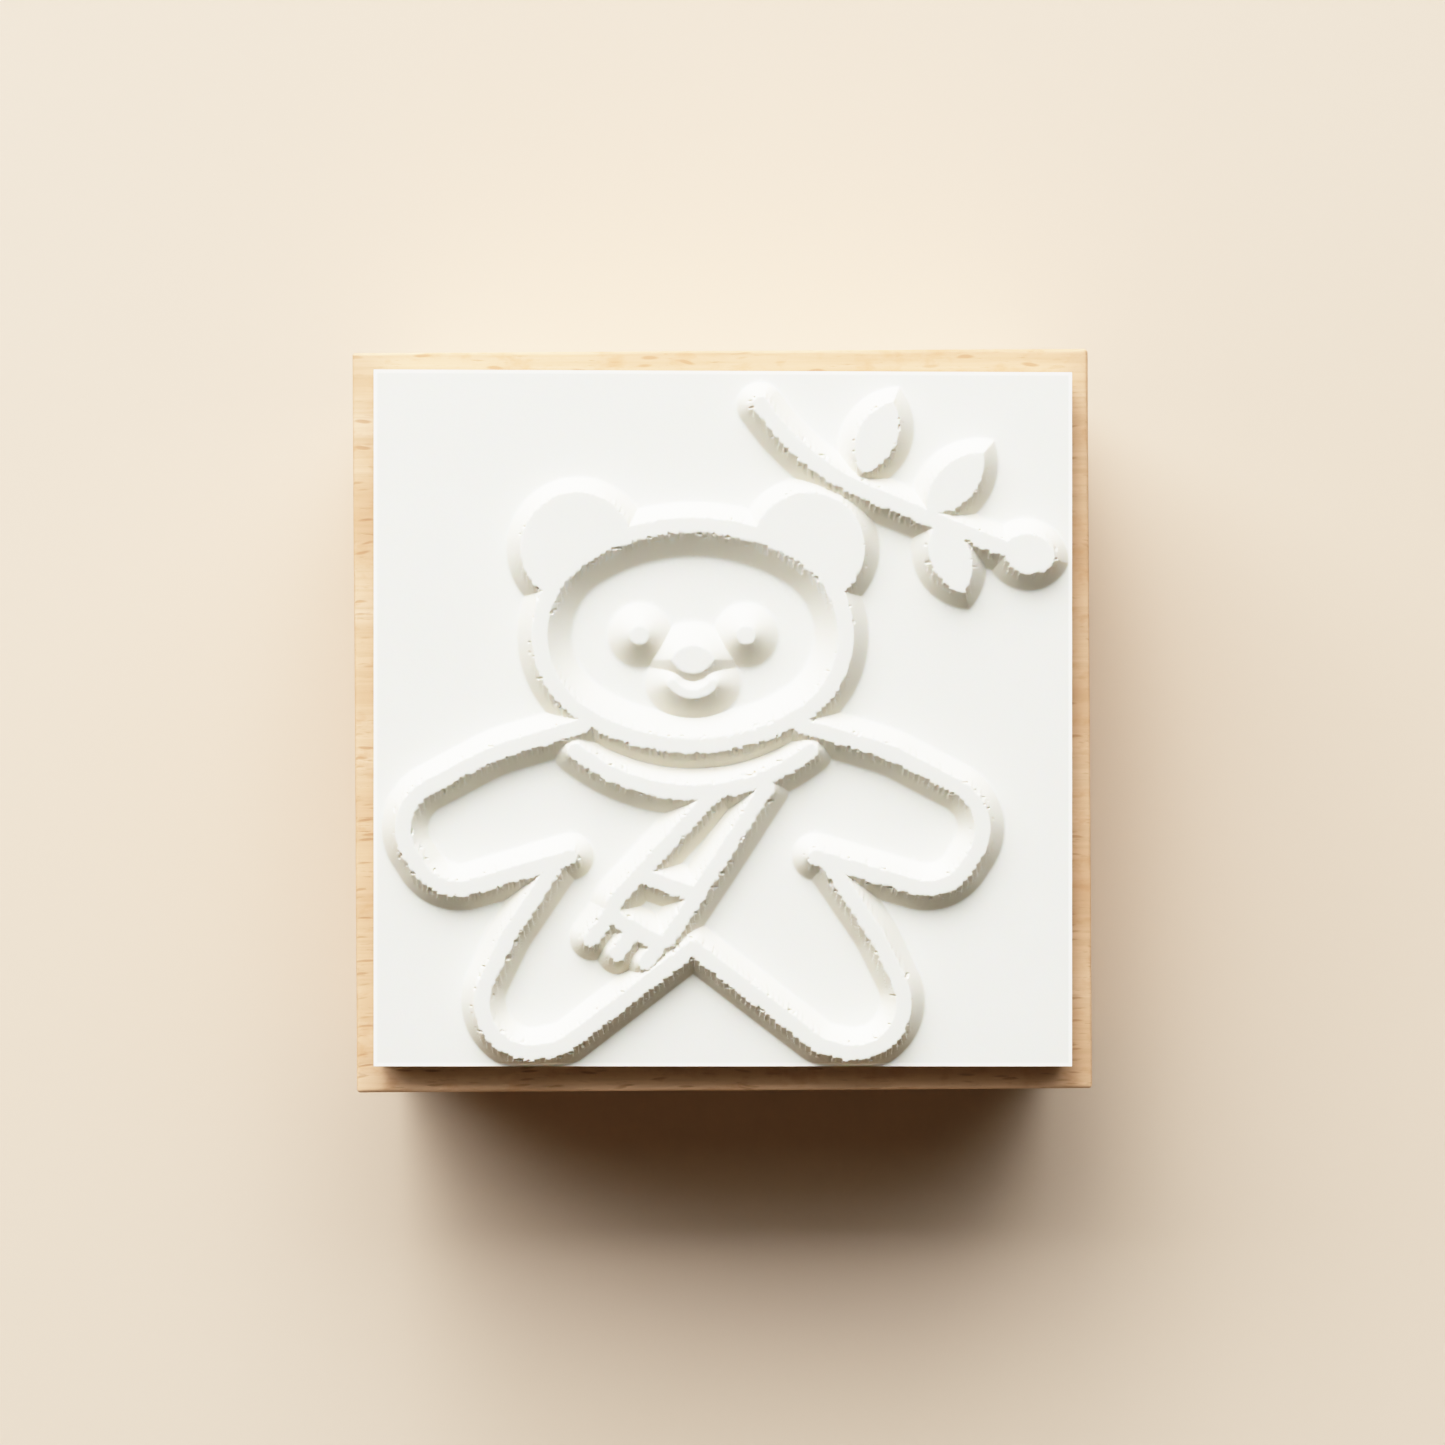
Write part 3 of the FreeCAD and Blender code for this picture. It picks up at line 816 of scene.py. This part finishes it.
def wood_material():
    m = Mat("beech_wood")
    mm = m.scale(1000, 1000, 1000)
    x, y, z = m.split(mm)[:3]
    warp = m.noise(m.scale(22, 60, 60), scale=1.0, detail=2.0)
    # growth rings round a pith far below and to one side
    yy = m.math("ADD", y, 74.0)
    zz = m.math("ADD", z, 80.0)
    rad = m.math("SQRT", m.math("ADD", m.math("MULTIPLY", yy, yy), m.math("MULTIPLY", zz, zz)))
    rad = m.math("ADD", rad, m.math("MULTIPLY", warp, 3.2))
    ang = m.math("ARCTAN2", yy, zz)
    ring = m.math("FRACT", m.math("MULTIPLY", rad, 0.36))
    ringmask = m.ramp(ring, [(0.0, (0, 0, 0)), (0.62, (0.25, 0.25, 0.25)), (0.90, (1, 1, 1)), (1.0, (0, 0, 0))], "EASE")
    # fibres: long streaks along x
    fibre = m.noise(m.scale(90, 2600, 2600), scale=1.0, detail=4.0, rough=0.65)
    broad = m.noise(m.scale(16, 210, 210), scale=1.0, detail=3.0, rough=0.55)
    col = m.ramp(broad, [(0.30, (0.690, 0.425, 0.262)), (0.50, (0.800, 0.530, 0.345)), (0.72, (0.880, 0.625, 0.440))])
    endm = m.fit(m.math("ABSOLUTE", m.split(m.geo_normal())[0]), 0.55, 0.90, 0.0, 1.0, True)
    col = m.mix(m.math("MULTIPLY", endm, 0.62), col, (0.640, 0.420, 0.265))
    col = m.mix(m.math("MULTIPLY", ringmask, m.fit(endm, 0.0, 1.0, 0.30, 0.50)), col, (0.58, 0.35, 0.20))
    col = m.mix(m.fit(fibre, 0.40, 0.70, 0.0, 0.55), col, (0.60, 0.38, 0.225))
    # ray flecks: thin round the trunk, tall along its radius, short along x
    tang = m.math("MULTIPLY", ang, 118.0)
    sway = m.noise(m.scale(160, 90, 90), scale=1.0, detail=2.0)
    tang = m.math("ADD", tang, m.math("MULTIPLY", sway, 1.1))
    rays = m.join(m.math("MULTIPLY", x, 0.46), m.math("MULTIPLY", tang, 3.6), m.math("MULTIPLY", rad, 0.24))
    cell = m.voronoi(rays, scale=1.0, feature="F1")
    pick = m.split(m.voronoi(rays, scale=1.0, feature="F1", out="Color"))[0]
    fleck = m.math("MULTIPLY", m.fit(cell, 0.16, 0.36, 1.0, 0.0, True), m.fit(pick, 0.45, 0.62, 0.0, 1.0))
    col = m.mix(m.math("MULTIPLY", fleck, m.fit(endm, 0.0, 1.0, 0.56, 0.14)), col, (0.42, 0.215, 0.105))
    # on the end grain the rays run as fine pale lines across the rings
    spokes = m.noise(m.join(m.math("MULTIPLY", x, 0.3), m.math("MULTIPLY", tang, 4.6), m.math("MULTIPLY", rad, 0.34)), scale=1.0, detail=3.0)
    col = m.mix(m.math("MULTIPLY", m.fit(spokes, 0.50, 0.72, 0.0, 0.24), endm), col, (0.80, 0.585, 0.405))
    # pores
    pores = m.noise(m.scale(700, 5200, 5200), scale=1.0, detail=2.0, rough=0.7)
    pore = m.fit(pores, 0.62, 0.74, 0.0, 1.0)
    col = m.mix(m.math("MULTIPLY", pore, 0.5), col, (0.45, 0.26, 0.14))
    # reddish blotches a millimetre or two across
    blot = m.noise(m.scale(520, 900, 900), scale=1.0, detail=3.0, rough=0.6)
    col = m.mix(m.fit(blot, 0.48, 0.72, 0.0, 0.56, True), col, (0.62, 0.345, 0.19))
    # painted shade: the wood is darkened a little towards +X, the side away from the lights
    col = m.mix(m.fit(x, -25.0, 25.0, 0.0, 0.15, True), col, (0.42, 0.25, 0.14))
    # painted contact shadow: a thin dark line on the wood just outside where the rubber stands on it
    q = m.scale(1000, 1000, 1000, rot=(0, 0, -DIE_TURN), loc=(-DIE_DX, -DIE_DY, 0))
    qx, qy, qz = m.split(q)[:3]
    top = m.math("SUBTRACT", DIE_Y / 2 - DIE_DROP / 2, m.math("MULTIPLY", qx, DIE_DROP / DIE_X))
    out = m.math("MAXIMUM", m.math("SUBTRACT", m.math("ABSOLUTE", qx), DIE_X / 2),
                 m.math("MAXIMUM", m.math("SUBTRACT", qy, top), m.math("SUBTRACT", m.math("MULTIPLY", qy, -1.0), DIE_Y / 2)))
    line = m.math("MULTIPLY", m.fit(out, 0.18, 0.46, 0.62, 0.0, True), m.fit(z, BLOCK_Z - 0.2, BLOCK_Z - 0.05, 0.0, 1.0))
    line = m.math("MULTIPLY", line, m.fit(m.noise(mm, scale=0.9, detail=2.0), 0.3, 0.6, 0.55, 1.0))
    col = m.mix(line, col, (0.34, 0.225, 0.14))
    m.link(col, m.b.inputs["Base Color"])
    rough = m.fit(fibre, 0.3, 0.7, 0.58, 0.74)
    m.link(rough, m.b.inputs["Roughness"])
    m.b.inputs["Specular IOR Level"].default_value = 0.3
    hgt = m.math("SUBTRACT", m.math("MULTIPLY", fibre, 0.6), m.math("MULTIPLY", m.math("MAXIMUM", pore, fleck), 0.5))
    m.link(m.bump(hgt, 0.00003, 0.7), m.b.inputs["Normal"])
    return m.m


block_ob = make_block()
block_ob.data.materials.append(wood_material())
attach(block_ob, "root")
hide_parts("wooden_block")


# ---------------------------------------------------------------------------
# foam cushion
# ---------------------------------------------------------------------------
def make_foam():
    inset = 0.18
    z0, z1 = float(foam[0][2]), float(foam[1][2])
    hx, hy = DIE_X / 2 - inset, DIE_Y / 2 - inset
    corners = [(-hx, -hy), (hx, -hy), (hx, hy - DIE_DROP), (-hx, hy)]
    ring, out = [], []
    for i in range(4):
        a, b = np.array(corners[i]), np.array(corners[(i + 1) % 4])
        steps = 420
        nrm = np.array([(b - a)[1], -(b - a)[0]]) / np.linalg.norm(b - a)
        for k in range(steps):
            ring.append(a + (b - a) * k / steps)
            out.append(nrm)
    ring, out = np.array(ring), np.array(out)
    k = len(ring)
    rows = 9
    verts = []
    s = np.cumsum(np.r_[0, np.linalg.norm(np.diff(ring, axis=0), axis=1)])
    for r in range(rows + 1):
        t = r / rows
        z = z0 + (z1 - z0) * t
        swell = -0.05 * math.sin(math.pi * t)
        pit = lattice_noise(s, np.full(k, z * 3.0), 0.22, 0.5, 31) * 0.035 + lattice_noise(s, np.full(k, z * 3.0), 0.6, 1.2, 32) * 0.03
        pit = pit * math.sin(math.pi * min(max(t, 0.0), 1.0)) ** 0.5
        p = ring + out * (swell + np.minimum(pit, 0.03))[:, None]
        bx, by = to_block(p[:, 0], p[:, 1])
        verts.append(np.stack([bx, by, np.full(k, z)], 1))
    verts = np.concatenate(verts) * MM
    faces = []
    for r in range(rows):
        for i in range(k):
            j = (i + 1) % k
            faces.append((r * k + i, r * k + j, (r + 1) * k + j, (r + 1) * k + i))
    faces.append(tuple(range(k))[::-1])
    faces.append(tuple(rows * k + i for i in range(k)))
    return new_object("foam_layer", verts, faces)


def foam_material():
    m = Mat("cushion_foam")
    mm = m.scale(1000, 1000, 1000)
    cells = m.voronoi(mm, scale=5.5, feature="SMOOTH_F1", smooth=0.3)
    big = m.voronoi(mm, scale=2.6, feature="F1")
    tone = m.noise(mm, scale=0.4, detail=3.0)
    col = m.ramp(cells, [(0.05, (0.44, 0.42, 0.38)), (0.35, (0.70, 0.68, 0.63)), (0.7, (0.80, 0.78, 0.74))])
    col = m.mix(m.fit(tone, 0.35, 0.7, 0.0, 0.35), col, (0.66, 0.63, 0.57))
    m.link(col, m.b.inputs["Base Color"])
    m.link(m.fit(cells, 0.1, 0.6, 0.95, 0.82), m.b.inputs["Roughness"])
    m.b.inputs["Specular IOR Level"].default_value = 0.2
    n = m.bump(cells, 0.00009, 0.9)
    n = m.bump(big, 0.00006, 0.5, n)
    m.link(n, m.b.inputs["Normal"])
    return m.m


foam_ob = make_foam()
foam_ob.data.materials.append(foam_material())
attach(foam_ob, "root")
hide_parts("foam_cushion")


# ---------------------------------------------------------------------------
# adhesive films: the CAD nodes stay, with their own material
# ---------------------------------------------------------------------------
def film_material():
    m = Mat("clear_adhesive")
    mm = m.scale(1000, 1000, 1000)
    streak = m.noise(m.scale(600, 600, 9000), scale=1.0, detail=3.0)
    bub = m.voronoi(mm, scale=3.0)
    col = m.ramp(streak, [(0.3, (0.66, 0.60, 0.46)), (0.7, (0.80, 0.76, 0.64))])
    m.link(col, m.b.inputs["Base Color"])
    m.link(m.fit(bub, 0.1, 0.5, 0.28, 0.42), m.b.inputs["Roughness"])
    m.link(m.bump(streak, 0.00001, 0.5), m.b.inputs["Normal"])
    return m.m


film = film_material()
for node in ("block_adhesive_film", "die_adhesive_film"):
    ob = bpy.data.objects[node] if node in bpy.data.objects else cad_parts[node]
    ob.data.materials.clear()
    ob.data.materials.append(film)
